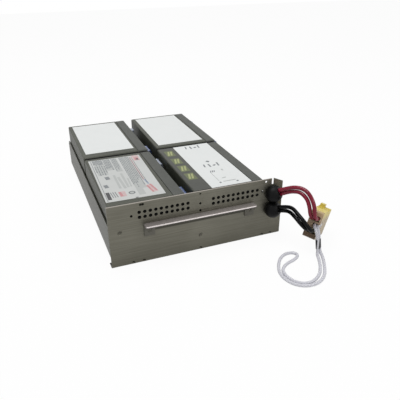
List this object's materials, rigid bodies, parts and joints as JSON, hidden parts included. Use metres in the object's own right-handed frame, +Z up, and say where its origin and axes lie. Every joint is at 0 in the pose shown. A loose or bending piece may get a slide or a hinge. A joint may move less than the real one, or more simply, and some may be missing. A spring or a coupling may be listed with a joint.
{
  "type": "ups battery cartridge",
  "caption": "Flat steel tray of sealed lead-acid batteries laid in two rows behind a vented front panel with a pull ledge, leads to a two-pole connector and a pull cord.",
  "frame": {"origin": "centre of the box of the cartridge without its leads, connector and pull cord, at the level of the front panel's bottom edge", "axes": "+X to the right seen from the front, +Y from the front panel to the rear, +Z up"},
  "size_m": [0.2909, 0.4361, 0.0823],
  "materials": {
    "black_lead": "glossy insulation",
    "boot": "translucent insulation",
    "bushing": "black",
    "case": "fine textured dark grey ABS",
    "connector": "pale yellow",
    "contact": "silver plated copper",
    "cord": "braided white cord",
    "foam": "black foam",
    "handle": "satin grey zinc-plated sheet steel with a bright rolled edge",
    "label_band": "coated, dark",
    "label_print": "coated, printed",
    "label_white": "coated",
    "lid": "fine textured dark grey ABS",
    "link_lead": "insulated wire",
    "red_lead": "glossy insulation",
    "rivet": "satin",
    "sleeve": "clear crimped sleeve",
    "steel": "satin grey zinc-plated sheet steel",
    "tape": "foam tape",
    "terminal": "tinned",
    "vent_cover": "dark grey ABS"
  },
  "bodies": {
    "root": {"battery_case_front_left": "case", "battery_case_front_right": "case", "battery_case_rear_left": "case", "battery_case_rear_right": "case", "battery_lid_front_left": "lid", "battery_lid_front_right": "lid", "battery_lid_rear_left": "lid", "battery_lid_rear_right": "lid", "black_lead_inner": "black_lead", "black_lead_outer": "black_lead", "connector_contacts": "contact", "connector_housing": "connector", "cord_knot": "cord", "cord_sleeve": "sleeve", "foam_tapes": "tape", "front_pad": "foam", "front_panel": "steel", "handle_rivets": "rivet", "label_band_front_right": "label_band", "label_front_left": "label_print", "label_front_right": "label_white", "label_rear_left": "label_white", "label_rear_right": "label_white", "lead_bushing_lower": "bushing", "lead_bushing_upper": "bushing", "link_lead_left": "link_lead", "link_lead_right": "link_lead", "panel_rivets": "rivet", "pull_cord": "cord", "pull_handle": "handle", "rear_pad": "foam", "red_lead_inner": "red_lead", "red_lead_outer": "red_lead", "row_spacer_left": "foam", "row_spacer_right": "foam", "terminal_boots_front_left": "boot", "terminal_boots_front_right": "boot", "terminal_boots_rear_left": "boot", "terminal_boots_rear_right": "boot", "terminals_front_left": "terminal", "terminals_front_right": "terminal", "terminals_rear_left": "terminal", "terminals_rear_right": "terminal", "tray": "steel", "vent_cover_front_left": "vent_cover", "vent_cover_front_right": "vent_cover", "vent_cover_rear_left": "vent_cover", "vent_cover_rear_right": "vent_cover"}
  },
  "joints": []
}
